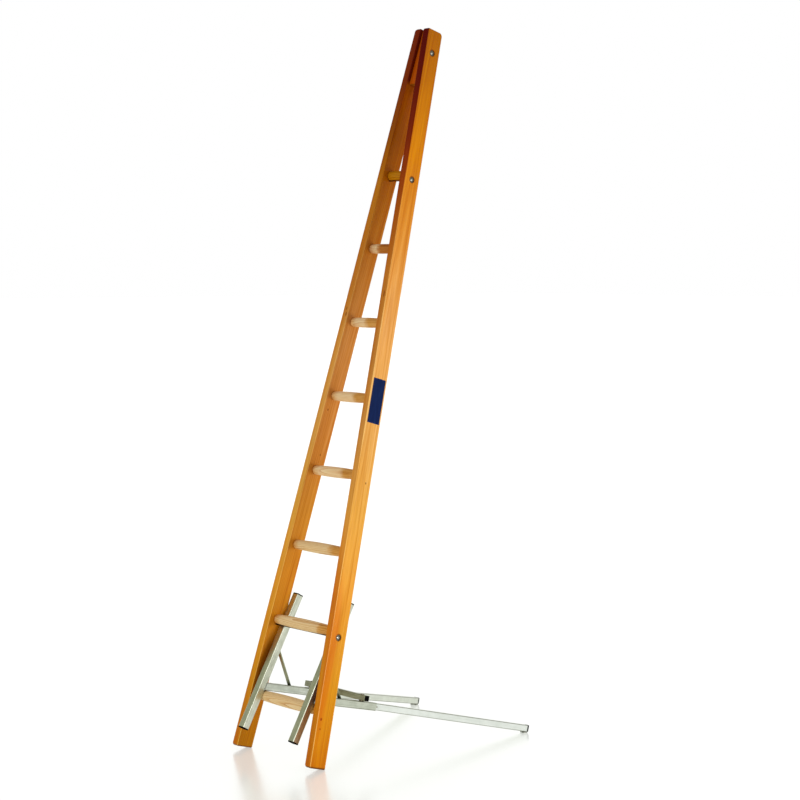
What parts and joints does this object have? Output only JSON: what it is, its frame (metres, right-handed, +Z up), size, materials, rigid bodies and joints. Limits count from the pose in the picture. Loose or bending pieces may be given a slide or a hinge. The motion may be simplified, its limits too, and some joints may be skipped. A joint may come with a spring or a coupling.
{
  "type": "window cleaning ladder",
  "caption": "Pointed wooden window cleaner's ladder with turned rungs, tie rods and a clip-in aluminium tube prop whose bent legs plug in, so that it stands by itself.",
  "frame": {"origin": "on the floor, in the middle of the space that the standing ladder and its prop take up", "axes": "+Z up, +X across the ladder to the climber's right, +Y from the front to the prop's feet"},
  "size_m": [0.5748, 0.9048, 2.3508],
  "materials": {
    "varnished_stile": "varnished softwood",
    "turned_rung": "pale turned hardwood",
    "head_block_wood": "varnished",
    "tube_aluminium": "mill finish",
    "brace_aluminium": "mill finish",
    "plated_steel": "zinc plated",
    "black_plastic": "moulded",
    "foot_rubber": "moulded"
  },
  "bodies": {
    "ladder": {"left_stile": "varnished_stile", "right_stile": "varnished_stile", "head_block": "head_block_wood", "rung_1": "turned_rung", "rung_2": "turned_rung", "rung_3": "turned_rung", "rung_4": "turned_rung", "rung_5": "turned_rung", "rung_6": "turned_rung", "rung_7": "turned_rung", "rung_8": "turned_rung", "tie_rod_lower": "plated_steel", "tie_rod_lower_washers": "plated_steel", "tie_rod_upper": "plated_steel", "tie_rod_upper_washers": "plated_steel", "tie_rod_head": "plated_steel", "tie_rod_head_washers": "plated_steel"},
    "prop": {"cross_bar": "tube_aluminium", "left_upright": "tube_aluminium", "left_top_cap": "black_plastic", "left_bottom_cap": "black_plastic", "left_leg_sleeve": "tube_aluminium", "left_brace": "brace_aluminium", "left_end_plug": "black_plastic", "left_spacer": "plated_steel", "left_bolt": "plated_steel", "right_upright": "tube_aluminium", "right_top_cap": "black_plastic", "right_bottom_cap": "black_plastic", "right_leg_sleeve": "tube_aluminium", "right_brace": "brace_aluminium", "right_end_plug": "black_plastic", "right_spacer": "plated_steel", "right_bolt": "plated_steel"},
    "left_leg": {"left_leg_tube": "tube_aluminium", "left_stop_button": "plated_steel", "left_foot": "foot_rubber"},
    "right_leg": {"right_leg_tube": "tube_aluminium", "right_stop_button": "plated_steel", "right_foot": "foot_rubber"}
  },
  "joints": [
    {"name": "prop_swing", "type": "hinge", "parent": "ladder", "child": "prop", "pos_m": [0, -0.35476, 0.17733], "axis": [1, 0, 0], "range_deg": [-90, 0]},
    {"name": "left_leg_pull", "type": "slide", "parent": "prop", "child": "left_leg", "axis": [0, 0.9714, -0.2373], "range_m": [0, 0.09]},
    {"name": "right_leg_pull", "type": "slide", "parent": "prop", "child": "right_leg", "axis": [0, 0.9714, -0.2373], "range_m": [0, 0.09]}
  ]
}
